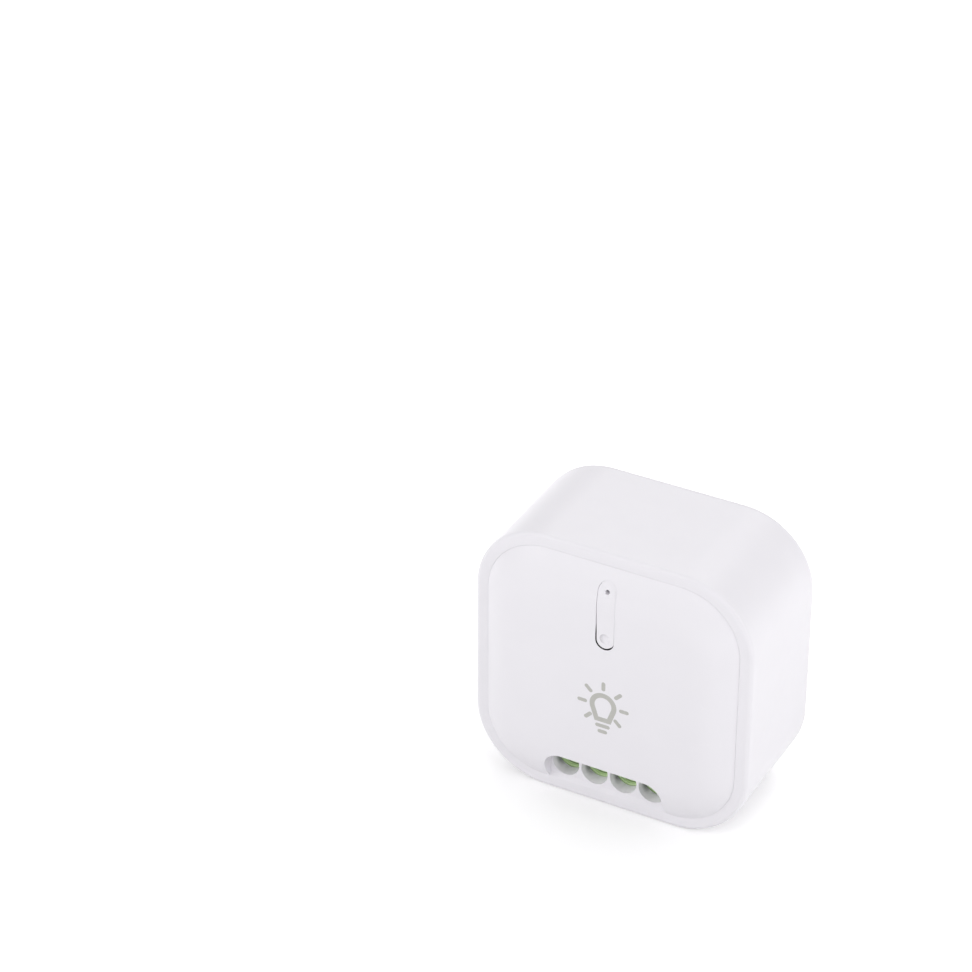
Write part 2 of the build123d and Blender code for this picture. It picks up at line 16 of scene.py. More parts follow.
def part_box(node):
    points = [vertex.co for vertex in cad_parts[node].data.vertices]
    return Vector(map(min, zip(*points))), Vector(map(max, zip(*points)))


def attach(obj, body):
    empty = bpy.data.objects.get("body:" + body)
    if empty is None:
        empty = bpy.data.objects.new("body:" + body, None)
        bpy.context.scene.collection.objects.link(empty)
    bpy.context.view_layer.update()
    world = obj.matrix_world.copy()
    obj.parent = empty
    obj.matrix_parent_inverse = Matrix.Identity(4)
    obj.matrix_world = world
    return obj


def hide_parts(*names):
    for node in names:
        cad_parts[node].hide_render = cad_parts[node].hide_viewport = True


bl_info = {
    "name": "Wireless switch module",
    "version": (1, 0, 0),
    "blender": (4, 5, 0),
    "location": "3D View > Sidebar > Switch module",
    "description": "Finishes the mouldings, the lamp sign and the inner parts of a switch module",
    "category": "Object",
}

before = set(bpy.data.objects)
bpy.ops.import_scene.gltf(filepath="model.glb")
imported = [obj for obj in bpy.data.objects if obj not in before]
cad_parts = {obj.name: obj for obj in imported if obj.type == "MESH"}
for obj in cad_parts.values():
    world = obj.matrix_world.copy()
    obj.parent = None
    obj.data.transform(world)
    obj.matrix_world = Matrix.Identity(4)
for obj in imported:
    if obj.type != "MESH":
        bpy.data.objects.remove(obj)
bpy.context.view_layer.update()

MM = 0.001

# Shapes
MERGE_DISTANCE = 0.002 * MM
FLAT_ANGLE = radians(0.05)  # faces that turn less than this are one flat face
SHARP_ANGLE = radians(32)
BEVEL_ANGLE = radians(55)
BEVEL_SEGMENTS = 3
WALL_FACING = 0.1  # the normal of a wall has less of Y than this
FRONT_FACING = 0.9  # the normal of a face to the front or the back has more of Y than this
RIM_CUTS = 3  # new points on each edge of the cover's rim
SEAM_PROBE = 0.1 * MM  # depth behind the rim at which the seam is measured
SEAM_REACH = 0.2 * MM  # widest seam that is measured
RECESS_REACH = 0.5 * MM  # depth behind the rim within which the recess ends at the foot
FACE_BORDER = 0.2  # border of the key's face that moves, as a share of the slot radius
RIGHT_POWER = 6  # a higher power keeps the narrow slot closer to the right
BULB_STEPS = 48
BAR_STEPS = 12
RAY_STEPS = 8
RAY_CORNER = 0.49  # rounding of a ray as a share of its width, just under half

# Painted shade that fades in between two ends: shares of the radius of opening or dimple
SLOT_LEFT = (0.9, 0.7)
ENTRY_SHADOW_LEFT = (-0.5, -0.85)
DIMPLE_RIM = (0.5, 0.95)
DIMPLE_INSIDE = (1.02, 1.0)
DIMPLE_LEFT = (0.4, -0.6)

# Painted shade and light that fade in between two ends: lengths beyond the wall or floor it belongs to
SLOT_WALL = (0.02 * MM, 0.01 * MM)
ENTRY_WALL = (0.04 * MM, 0.02 * MM)
ENTRY_DEPTH = (0.0, 0.2 * MM)
ENTRY_SHADOW_DEPTH = (0.8 * MM, 1.7 * MM)
MOUTH_RING = (-0.16 * MM, -0.08 * MM)
MOUTH_FLOOR = (-0.2 * MM, -0.1 * MM)

# Factors of the colour under that painted shade and light
SLOT_PAINTED_SHADE = 0.025
ENTRY_PAINTED_LIGHT = 1.15
ENTRY_SHADOW_SHADE = 0.4
DIMPLE_PAINTED_SHADE = 0.78
MOUTH_PAINTED_SHADE = 0.4

# Uneven surfaces: sizes and depths of the noise, factors of the colour, changes of the roughness
NOISE_RANGE = (0.3, 0.7)  # most values of noise lie between these
CLOUD_SIZE = 7 * MM
CLOUD_RANGE = (0.35, 0.65)
CLOUD_SHADE = 0.992
MARK_SIZE = 3.1 * MM
MARK_RANGE = (0.66, 0.78)
MARK_STRENGTH = 0.35
GLOSS_SIZE = 1.7 * MM
GLOSS_SPAN = (-0.03, 0.05)
COAT_CLOUD = 2.5 * MM
COAT_SHADE = 0.86
COAT_GRAIN = 0.15 * MM
COAT_DEPTH = 0.005 * MM
FERRITE_GRAIN = 0.25 * MM
GREEN_SHADE = 0.9
STREAK_SIZE = 0.12 * MM
STREAK_DEPTH = 0.002 * MM
METAL_SHADE = 0.8
METAL_GLOSS_SIZE = 0.8 * MM
METAL_GLOSS_SPAN = (-0.06, 0.08)
INK_CLOUD = 0.25 * MM
INK_SHADE = 0.95
INK_GRAIN = 0.1 * MM
INK_DEPTH = 0.002 * MM

# Colours without a setting, in linear light
WHITE = (1, 1, 1, 1)
TIN = (0.62, 0.61, 0.58)
FERRITE = (0.050, 0.050, 0.054)
CRYSTAL_CAN = (0.60, 0.60, 0.61)
CLEAR = (0.42, 0.43, 0.45)

cover_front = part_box("front_cover")[0][1]
rim_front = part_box("housing")[0][1]
board_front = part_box("main_board")[0][1]


def length(name, description, default):
    """Length property in metres."""
    return FloatProperty(name=name, description=description, default=default, precision=5, unit="LENGTH")


def angle(name, description, degrees):
    """Angle property, given in degrees."""
    return FloatProperty(name=name, description=description, default=radians(degrees), subtype="ANGLE")


def level(name, description, default):
    """Plain number property."""
    return FloatProperty(name=name, description=description, default=default, precision=3)


def tone(name, description, default):
    """Colour property, in linear light."""
    return FloatVectorProperty(
        name=name, description=description, default=default, subtype="COLOR", min=0, max=1, precision=3
    )


class MouldingSettings(bpy.types.PropertyGroup):
    """White mouldings: housing, cover and key."""

    colour: tone("White", "Colour of the white mouldings", (0.782, 0.766, 0.804))
    mark: tone("Handling marks", "Colour of the faint marks", (0.800, 0.775, 0.795))
    roughness: level("Roughness", "Roughness of the satin surface", 0.42)
    grain: length("Grain", "Size of the moulded texture", 0.11 * MM)
    grain_depth: length("Grain depth", "Depth of the moulded texture", 0.004 * MM)
    housing_edge: length("Housing edge", "Rounding of the housing's sharp edges", 0.04 * MM)
    cover_edge: length("Cover edge", "Rounding of the edges of recess and entries", 0.14 * MM)
    slot_edge: length("Slot edge", "Rounding of the edge of the key's opening", 0.03 * MM)
    key_edge: length("Key edge", "Rounding of the key's edges", 0.04 * MM)
    seam: length("Seam", "Width of the seam between cover and housing", 0.012 * MM)
    foot_seam: length("Foot seam", "Width of the seam under the wire entries", 0.002 * MM)
    entry_radius: length("Entry radius", "Radius of the wire entries", 2.3 * MM)
    recess_depth: length("Recess depth", "Floor of the recess behind the rim", 0.3 * MM)
    slope_top: length("Slope top", "Height up to which the recess runs out to the rim", 3.05 * MM)
    slot_radius: length("Slot radius", "Half the width of the key's opening", 1.57 * MM)
    slot_foot: length("Slot foot", "Lower end of the key's opening above the foot", 31.22 * MM)
    slot_head: length("Slot head", "Upper end of the key's opening above the foot", 43.12 * MM)
    slot_line: length("Slot line", "Width of the slot beside the key where it is narrowest", 0.045 * MM)
    # Below slot_dark the walls of the slot round the key carry painted shade, which fades out up to
    # slot_light
    slot_dark: length("Dark slot", "Height below which the slot round the key is wide and dark", 33.8 * MM)
    slot_light: length("Light slot", "Height above which the walls of the slot are white", 35.6 * MM)
    slot_narrow: length("Narrow slot", "Height above which the slot is narrowest", 39.2 * MM)
    dimple_radius: length("Dimple radius", "Radius of the thumb dimple in the key", 0.85 * MM)
    dimple_height: length("Dimple height", "Middle of the thumb dimple above the foot", 33.2 * MM)


class SignSettings(bpy.types.PropertyGroup):
    """Lamp sign printed on the cover."""

    colour: tone("Ink", "Colour of the print", (0.470, 0.465, 0.440))
    height: length("Height", "Middle of the bulb above the foot", 20.75 * MM)
    radius: length("Bulb radius", "Outer radius of the bulb", 2.3 * MM)
    stroke: length("Stroke", "Width of the bulb's line", 0.85 * MM)
    neck_width: length("Neck width", "Outer width of the bulb's neck", 2.75 * MM)
    neck_drop: length("Neck drop", "End of the neck below the middle of the bulb", 3.1 * MM)
    bar: length("Bar", "Height of the bars under the bulb", 0.66 * MM)
    upper_bar: length("Upper bar", "Width of the upper bar", 2.5 * MM)
    lower_bar: length("Lower bar", "Width of the lower bar", 1.65 * MM)
    bar_drop: length("Bar drop", "Upper bar below the middle of the bulb", 3.83 * MM)
    bar_step: length("Bar step", "Lower bar below the upper bar", 1.07 * MM)
    rays: IntProperty(name="Rays", description="Number of rays over the bulb", default=7, min=1)
    ray_step: angle("Ray step", "Angle between two rays", 45)
    ray_width: length("Ray width", "Width of a ray", 0.65 * MM)
    ray_start: length("Ray start", "Inner end of a ray from the middle of the bulb", 2.75 * MM)
    ray_length: length("Ray length", "Length of a ray", 1.65 * MM)
    thickness: length("Thickness", "Height of the ink over the cover", 0.012 * MM)


class TerminalSettings(bpy.types.PropertyGroup):
    """Terminal block and its clamps."""

    colour: tone("Green", "Colour of the terminal block", (0.740, 0.970, 0.530))
    hole_step: length("Hole step", "Distance between two wire holes", 5.0 * MM)
    hole_height: length("Hole height", "Middle of the wire holes above the foot", 5.45 * MM)
    mouth_radius: length("Mouth radius", "Radius of the wide mouth of a wire hole", 2.1 * MM)
    mouth_depth: length("Mouth depth", "Depth of the wide mouth of a wire hole", 0.7 * MM)
    edge: length("Block edge", "Rounding of the block's edges", 0.12 * MM)
    nickel: tone("Nickel", "Colour of the clamp cages", (0.66, 0.63, 0.57))
    zinc: tone("Zinc", "Colour of screws and plates", (0.60, 0.61, 0.63))
    pitch: length("Thread pitch", "Rise of a screw in one turn", 0.45 * MM)
    thread: length("Thread depth", "Depth of the screws' thread", 0.2 * MM)
    slot: length("Slot", "Width of the screws' slot", 0.5 * MM)
    slot_depth: length("Slot depth", "Depth of the screws' slot", 0.7 * MM)


class StageSettings(bpy.types.PropertyGroup):
    """Camera, light and floor."""

    aim: FloatVectorProperty(
        name="Aim", description="Point in the middle of the picture", subtype="TRANSLATION", unit="LENGTH",
        precision=5, default=(-21.77 * MM, -10.5 * MM, 52.73 * MM),
    )
    distance: length("Distance", "Camera from the point it looks at", 525.1 * MM)
    azimuth: angle("Azimuth", "Camera to the right of the front", 28.37)
    elevation: angle("Elevation", "Camera above the floor", 32.37)
    roll: angle("Roll", "Turn of the picture", 0.13)
    lens: level("Lens", "Focal length in millimetres on a 36 mm sensor", 128.4)
    dome: level("Dome light", "Strength of the even light from all around", 0.48)
    front: level("Front light", "Level of the soft light at the front", 0.13)
    left: level("Left light", "Level of the soft light on the left", 0.33)
    right: level("Right light", "Level of the soft light on the right", 0.41)
    top: level("Top light", "Level of the soft light from above", 0.31)
    floor: tone("Floor", "Colour of the floor", (0.90, 0.90, 0.90))
    floor_glow: level("Floor glow", "Light that the floor adds for the camera near the module", 0.14)
    floor_near: length("Near floor", "Distance from which the floor turns to white", 14 * MM)
    floor_far: length("Far floor", "Distance at which the floor is white for the camera", 130 * MM)
    side_glow: level("Side glow", "Light that the floor adds for the camera on the right", 0.18)
    side_near: length("Near side", "Distance to the right from which the side glow begins", 14 * MM)
    side_far: length("Far side", "Distance to the right at which the side glow is full", 26 * MM)


def settings():
    """All settings of the add-on."""
    return bpy.context.scene.switch_module


def link(obj):
    """Object put into the scene."""
    bpy.context.scene.collection.objects.link(obj)
    return obj


def baked(obj):
    """Object with its modifiers turned into a plain mesh."""
    evaluated = obj.evaluated_get(bpy.context.evaluated_depsgraph_get())
    mesh = bpy.data.meshes.new_from_object(evaluated)
    mesh.name = obj.name
    obj.modifiers.clear()
    obj.data = mesh
    return obj


def mesh_piece(name, shape):
    """New object from a bmesh, which is freed."""
    mesh = bpy.data.meshes.new(name)
    shape.to_mesh(mesh)
    shape.free()
    return link(bpy.data.objects.new(name, mesh))


def fine_copy(node, name, width, adjust=None, share=None, crease=None):
    """Copy of a CAD node with whole flat faces, rounded edges and even shading.

    adjust changes the shape before its edges are rounded, share gives the part of the width that an edge
    gets, and crease is the depth at which edges stay crisp.
    """
    shape = bmesh.new()
    shape.from_mesh(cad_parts[node].data)
    bmesh.ops.remove_doubles(shape, verts=shape.verts, dist=MERGE_DISTANCE)
    bmesh.ops.dissolve_limit(shape, angle_limit=FLAT_ANGLE, verts=shape.verts, edges=shape.edges)
    if adjust:
        adjust(shape)
    weights = shape.edges.layers.float.new("bevel_weight_edge")
    for edge in shape.edges:
        if edge.calc_face_angle(0) > BEVEL_ANGLE:
            edge[weights] = share(edge) if share else 1
    for face in shape.faces:
        face.smooth = True
    piece = mesh_piece(name, shape)
    bevel = piece.modifiers.new("Edges", "BEVEL")
    bevel.width = width
    bevel.segments = BEVEL_SEGMENTS
    bevel.limit_method = "WEIGHT"
    baked(piece)
    piece.data.set_sharp_from_angle(angle=SHARP_ANGLE)
    if crease is not None:
        points = piece.data.vertices
        for edge in piece.data.edges:
            if all(abs(points[i].co.y - crease) < MERGE_DISTANCE for i in edge.vertices):
                edge.use_edge_sharp = True
    weighted = piece.modifiers.new("Shading", "WEIGHTED_NORMAL")
    weighted.keep_sharp = True
    return baked(piece)


def dress(piece, material):
    """One material on the whole piece."""
    piece.data.materials.clear()
    piece.data.materials.append(material)


def stand_for(piece, node, body):
    """Piece takes the place of a CAD node."""
    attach(piece, body)
    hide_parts(node)


def dress_nodes(material, *nodes):
    """One material on carried-over CAD nodes."""
    for node in nodes:
        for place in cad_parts[node].material_slots:
            place.material = material


def shaded(colour, share):
    """Colour made darker or paler by a factor."""
    return tuple(min(c * share, 1) for c in colour)


class Shader:
    """Material under construction: its node tree, its surface and its object coordinates."""

    def __init__(self, name, roughness, metallic=0.0):
        self.material = bpy.data.materials.new(name)
        self.material.use_nodes = True
        self.tree = self.material.node_tree
        self.surface = self.tree.nodes["Principled BSDF"]
        self.surface.inputs["Roughness"].default_value = roughness
        self.surface.inputs["Metallic"].default_value = metallic
        self.place = self.tree.nodes.new("ShaderNodeTexCoord").outputs["Object"]

    def node(self, kind, **values):
        """New node with the given properties."""
        made = self.tree.nodes.new(kind)
        for key, value in values.items():
            setattr(made, key, value)
        return made

    def join(self, output, target):
        """Link from an output to an input."""
        self.tree.links.new(output, target)

    def noise(self, size, detail=2.0, stretch=(1, 1, 1)):
        """Noise of the given grain size in metres, stretched along the axes."""
        mapping = self.node("ShaderNodeMapping")
        mapping.inputs["Scale"].default_value = [1 / (size * s) for s in stretch]
        self.join(self.place, mapping.inputs["Vector"])
        noise = self.node("ShaderNodeTexNoise")
        noise.inputs["Scale"].default_value = 1.0
        noise.inputs["Detail"].default_value = detail
        self.join(mapping.outputs["Vector"], noise.inputs["Vector"])
        return noise.outputs["Fac"]

    def spread(self, value, low, high, to_low=0.0, to_high=1.0):
        """Value from one range spread over another."""
        spread = self.node("ShaderNodeMapRange")
        for key, number in (("From Min", low), ("From Max", high), ("To Min", to_low), ("To Max", to_high)):
            spread.inputs[key].default_value = number
        self.join(value, spread.inputs["Value"])
        return spread.outputs["Result"]

    def fade(self, value, ends, unit=1.0, start=0.0):
        """0 to 1 between two ends, which are counted in a unit from a start."""
        return self.spread(value, *(start + unit * end for end in ends))

    def blend(self, share, first, second):
        """Colour between two colours, each a tuple or an output."""
        mix = self.node("ShaderNodeMix", data_type="RGBA")
        self.join(share, mix.inputs["Factor"])
        for key, colour in (("A", first), ("B", second)):
            socket = next(s for s in mix.inputs if s.name == key and s.type == "RGBA")
            if isinstance(colour, bpy.types.NodeSocket):
                self.join(colour, socket)
            else:
                socket.default_value = (*colour, 1)
        return next(s for s in mix.outputs if s.type == "RGBA")

    def mottle(self, pattern, colour, shade, ends=NOISE_RANGE):
        """Colour that a pattern darkens in places by a factor."""
        return self.blend(self.spread(pattern, *ends), shaded(colour, shade), tuple(colour))

    def gloss(self, pattern, roughness, span):
        """Roughness that a pattern changes within a span."""
        low, high = (roughness + change for change in span)
        self.join(self.spread(pattern, *NOISE_RANGE, low, high), self.surface.inputs["Roughness"])

    def paint(self, colour):
        """Base colour from an output."""
        self.join(colour, self.surface.inputs["Base Color"])

    def bump(self, value, depth):
        """Bump of the given depth in metres."""
        bump = self.node("ShaderNodeBump")
        bump.inputs["Distance"].default_value = depth
        self.join(value, bump.inputs["Height"])
        self.join(bump.outputs["Normal"], self.surface.inputs["Normal"])

    def along(self, axis):
        """Object coordinate along an axis."""
        split = self.node("ShaderNodeSeparateXYZ")
        self.join(self.place, split.inputs["Vector"])
        return split.outputs[axis]

    def maths(self, operation, first, second=0.0):
        """Result of an operation on an output and an output or number."""
        made = self.node("ShaderNodeMath", operation=operation)
        self.join(first, made.inputs[0])
        if isinstance(second, bpy.types.NodeSocket):
            self.join(second, made.inputs[1])
        else:
            made.inputs[1].default_value = second
        return made.outputs["Value"]

    def product(self, first, *others):
        """Outputs multiplied with each other."""
        for other in others:
            first = self.maths("MULTIPLY", first, other)
        return first

    def reach(self, across, up):
        """Length of the way made of two outputs at right angles."""
        squares = self.maths("ADD", self.product(across, across), self.product(up, up))
        return self.maths("SQRT", squares)


def hole_across(shader):
    """Way to the right from the axis of the nearest wire hole."""
    step = settings().terminals.hole_step
    return shader.maths("SUBTRACT", shader.maths("FLOORED_MODULO", shader.along("X"), step), step / 2)


def hole_reach(shader):
    """Distance from the axis of the nearest wire hole."""
    rise = shader.maths("SUBTRACT", shader.along("Z"), settings().terminals.hole_height)
    return shader.reach(hole_across(shader), rise)


def entry_painted_light(shader):
    """1 on the walls of the wire entries, which painted light makes paler, else 0."""
    own = settings().moulding
    wall = shader.fade(hole_reach(shader), ENTRY_WALL, start=own.entry_radius)
    deep = shader.fade(shader.along("Y"), ENTRY_DEPTH, start=rim_front + own.recess_depth)
    return shader.product(wall, deep)


def entry_painted_shadow(shader):
    """Painted shadow, 1 deep on the left walls of the wire entries, fading to 0 forwards and to the right.
    """
    own = settings().moulding
    deep = shader.fade(shader.along("Y"), ENTRY_SHADOW_DEPTH, start=rim_front + own.recess_depth)
    left = shader.fade(hole_across(shader), ENTRY_SHADOW_LEFT, own.entry_radius)
    return shader.product(deep, left, entry_painted_light(shader))


def slot_painted_shade(shader):
    """Painted shade, 1 on the walls of the key's opening round the key's foot, fading to 0 upwards and on
    the right.
    """
    own = settings().moulding
    x, z = shader.along("X"), shader.along("Z")
    drop = shader.maths("MINIMUM", shader.maths("SUBTRACT", z, own.slot_foot + own.slot_radius))
    wall = shader.fade(shader.reach(x, drop), SLOT_WALL, start=own.slot_radius)
    left = shader.fade(x, SLOT_LEFT, own.slot_radius)
    height = shader.spread(z, own.slot_light, own.slot_dark)
    return shader.product(wall, left, height)


def dimple_painted_shade(shader):
    """Painted shade, 1 on the left rim of the thumb dimple, fading to 0 in its middle."""
    own = settings().moulding
    x, z = shader.along("X"), shader.along("Z")
    reach = shader.reach(x, shader.maths("SUBTRACT", z, own.dimple_height))
    rim = shader.fade(reach, DIMPLE_RIM, own.dimple_radius)
    inside = shader.fade(reach, DIMPLE_INSIDE, own.dimple_radius)
    left = shader.fade(x, DIMPLE_LEFT, own.dimple_radius)
    return shader.product(rim, inside, left)


def white_moulding(name, *shades):
    """Satin white plastic with a fine moulded grain and faint handling marks.

    Each of shades is painted shade or light: a function for a share of the surface, and the factor of the
    colour there.
    """
    own = settings().moulding
    shader = Shader(name, own.roughness)
    base = shader.mottle(shader.noise(CLOUD_SIZE), own.colour, CLOUD_SHADE, CLOUD_RANGE)
    marks = shader.spread(shader.noise(MARK_SIZE, detail=4.0), *MARK_RANGE, 0.0, MARK_STRENGTH)
    base = shader.blend(marks, base, tuple(own.mark))
    for share, factor in shades:
        base = shader.blend(share(shader), base, shaded(own.colour, factor))
    shader.paint(base)
    shader.gloss(shader.noise(GLOSS_SIZE, detail=3.0), own.roughness, GLOSS_SPAN)
    shader.bump(shader.noise(own.grain, detail=3.0), own.grain_depth)
    return shader.material


def coloured_moulding(name, colour, roughness, grain=COAT_GRAIN, leads=False):
    """Moulded or coated part in one colour, with tinned leads behind the board's front if it has any."""
    shader = Shader(name, roughness)
    base = shader.mottle(shader.noise(COAT_CLOUD, detail=3.0), colour, COAT_SHADE)
    if leads:
        lead = shader.maths("GREATER_THAN", shader.along("Y"), board_front)
        base = shader.blend(lead, base, TIN)
        shader.join(lead, shader.surface.inputs["Metallic"])
    shader.paint(base)
    shader.bump(shader.noise(grain), COAT_DEPTH)
    return shader.material


def terminal_plastic(own):
    """Green moulding with painted shade, a dark line in the corner of each wire hole's mouth."""
    shader = Shader("green_plastic", roughness=0.38)
    base = shader.mottle(shader.noise(COAT_CLOUD, detail=3.0), own.colour, GREEN_SHADE)
    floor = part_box("terminal_block")[0][1] + own.mouth_depth
    ring = shader.fade(hole_reach(shader), MOUTH_RING, start=own.mouth_radius)
    deep = shader.fade(shader.along("Y"), MOUTH_FLOOR, start=floor)
    # Painted shade: a dark ring in the corner of each wire hole's mouth
    shader.paint(shader.blend(shader.product(ring, deep), base, shaded(own.colour, MOUTH_PAINTED_SHADE)))
    shader.bump(shader.noise(COAT_GRAIN), COAT_DEPTH)
    return shader.material


def worked_metal(name, colour, roughness, stretch=(1, 1, 1)):
    """Plated metal with fine streaks along the stretched axis."""
    shader = Shader(name, roughness, metallic=1.0)
    streak = shader.noise(STREAK_SIZE, detail=3.0, stretch=stretch)
    shader.paint(shader.mottle(streak, colour, METAL_SHADE))
    shader.gloss(shader.noise(METAL_GLOSS_SIZE), roughness, METAL_GLOSS_SPAN)
    shader.bump(streak, STREAK_DEPTH)
    return shader.material


class SWITCHMODULE_OT_housing(bpy.types.Operator):
    """Make the housing's finished moulding"""

    bl_idname = "switchmodule.housing"
    bl_label = "Housing"

    def execute(self, context):
        piece = fine_copy("housing", "housing_moulding", settings().moulding.housing_edge)
        dress(piece, white_moulding("housing_white"))
        stand_for(piece, "housing", "module")
        return {"FINISHED"}


def on_rim(vertex):
    """Whether a point of the cover lies on its rim."""
    return abs(vertex.co.y - rim_front) < MERGE_DISTANCE


def fill_seam(shape):
    """Edge of the cover moved outwards, so that its seam is a fine line.

    The foot of the recess is brought forward to the rim, so that the recess runs out there.
    """
    own = settings().moulding
    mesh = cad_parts["housing"].data
    opening = BVHTree.FromPolygons([v.co for v in mesh.vertices], [p.vertices for p in mesh.polygons])
    rim = [e for e in shape.edges if all(on_rim(v) for v in e.verts)]
    bmesh.ops.subdivide_edges(shape, edges=rim, cuts=RIM_CUTS)
    shape.normal_update()
    edge = [v for v in shape.verts if on_rim(v)]
    foot = min(v.co.z for v in edge)
    lowest = [v for v in shape.verts if abs(v.co.z - foot) < MERGE_DISTANCE]
    recess_edge = [v for v in lowest if rim_front < v.co.y < rim_front + RECESS_REACH]
    behind = Vector((0, SEAM_PROBE, 0))
    moves = []
    for vertex in edge + recess_edge:
        walls = [f.normal for f in vertex.link_faces if abs(f.normal.y) < WALL_FACING]
        outward = sum(walls, Vector()).normalized()
        seam = own.foot_seam if vertex.co.z - foot < MERGE_DISTANCE else own.seam
        gap = opening.ray_cast(vertex.co + behind, outward, SEAM_REACH)[3] or seam
        moves.append((vertex, (gap - seam) * Vector((outward.x, 0, outward.z))))
    floor = {face for v in recess_edge for face in v.link_faces if abs(face.normal.y) > FRONT_FACING}
    lines = {line for face in floor for line in (*face.edges, *face.verts)}
    bmesh.ops.bisect_plane(shape, geom=[*floor, *lines], plane_co=(0, 0, own.slope_top), plane_no=(0, 0, 1))
    for vertex, move in moves:
        vertex.co += move
    for vertex in recess_edge:
        vertex.co.y = rim_front


def cover_share(edge):
    """Part of the cover's edge rounding that an edge gets: little round the key and at the foot."""
    own = settings().moulding
    middle = (edge.verts[0].co + edge.verts[1].co) / 2
    above_slot_foot = middle.z > own.slot_foot - MERGE_DISTANCE
    near_key = above_slot_foot and abs(middle.x) < own.slot_radius + MERGE_DISTANCE
    at_foot = middle.z < own.slope_top
    return own.slot_edge / own.cover_edge if near_key or at_foot else 1


class SWITCHMODULE_OT_cover(bpy.types.Operator):
    """Make the front cover's finished moulding"""

    bl_idname = "switchmodule.cover"
    bl_label = "Front cover"

    def execute(self, context):
        width = settings().moulding.cover_edge
        piece = fine_copy("front_cover", "cover_moulding", width, fill_seam, cover_share, rim_front)
        # Painted shade on the walls of the key's opening and deep on the left walls of the wire entries,
        # painted light on the walls of the wire entries
        shades = ((slot_painted_shade, SLOT_PAINTED_SHADE), (entry_painted_light, ENTRY_PAINTED_LIGHT), (entry_painted_shadow, ENTRY_SHADOW_SHADE))
        dress(piece, white_moulding("cover_white", *shades))
        stand_for(piece, "front_cover", "module")
        return {"FINISHED"}


def close_slot(shape):
    """Outline of the key's face moved outwards.

    So the slot beside the key narrows to a fine line upwards and on the right.
    """
    own = settings().moulding
    foot, head = own.slot_foot + own.slot_radius, own.slot_head - own.slot_radius
    for vertex in shape.verts:
        point = vertex.co
        way = Vector((point.x, 0, point.z - min(max(point.z, foot), head)))
        gap = own.slot_radius - way.length
        if point.y < rim_front and 0 < gap < FACE_BORDER * own.slot_radius:
            rise = (point.z - own.slot_dark) / (own.slot_narrow - own.slot_dark)
            right = max(way.x / way.length, 0) ** RIGHT_POWER
            vertex.co += min(max(rise, right), 1) * (gap - own.slot_line) * way.normalized()


class SWITCHMODULE_OT_key(bpy.types.Operator):
    """Make the key's finished moulding"""

    bl_idname = "switchmodule.key"
    bl_label = "Key"

    def execute(self, context):
        piece = fine_copy("button_key", "key_moulding", settings().moulding.key_edge, close_slot)
        # Painted shade on the left rim of the thumb dimple
        dress(piece, white_moulding("key_white", (dimple_painted_shade, DIMPLE_PAINTED_SHADE)))
        stand_for(piece, "button_key", "key")
        return {"FINISHED"}


def sign_ink():
    """Warm grey print with a slightly uneven coat."""
    own = settings().sign
    shader = Shader("sign_ink", roughness=0.5)
    shader.paint(shader.mottle(shader.noise(INK_CLOUD, detail=3.0), own.colour, INK_SHADE))
    shader.bump(shader.noise(INK_GRAIN), INK_DEPTH)
    return shader.material


def bulb_outline(own, inset):
    """Outline of the bulb about its middle, shrunk by inset.

    It has a round top, whose sides run straight to the neck.
    """
    neck = own.neck_width / 2
    start = atan2(-own.neck_drop, neck) + acos(own.radius / hypot(neck, own.neck_drop))
    radius = own.radius - inset
    foot = inset - own.neck_drop
    run = (radius * sin(start) - foot) / cos(start)
    foot_x = radius * cos(start) + run * sin(start)
    arc = [start + (pi - 2 * start) * i / BULB_STEPS for i in range(BULB_STEPS + 1)]
    round_top = [(radius * cos(a), radius * sin(a)) for a in arc]
    return [(foot_x, foot)] + round_top + [(-foot_x, foot)]


def slab(shape, outline, back, front):
    """Closed slab between two depths over a front-view outline."""
    rear = [shape.verts.new((x, back, z)) for x, z in outline]
    fore = [shape.verts.new((x, front, z)) for x, z in outline]
    shape.faces.new(fore)
    shape.faces.new(rear[::-1])
    for i, _ in enumerate(outline):
        j = (i + 1) % len(outline)
        shape.faces.new((rear[i], rear[j], fore[j], fore[i]))


def round_bar(width, tall, z):
    """Front-view outline of a bar with round ends, centred on the middle line."""
    radius = tall / 2
    side = width / 2 - radius
    half = [-pi / 2 + pi * i / BAR_STEPS for i in range(BAR_STEPS + 1)]
    right = [(side + radius * cos(a), z + radius * sin(a)) for a in half]
    return right + [(-x, 2 * z - y) for x, y in right]


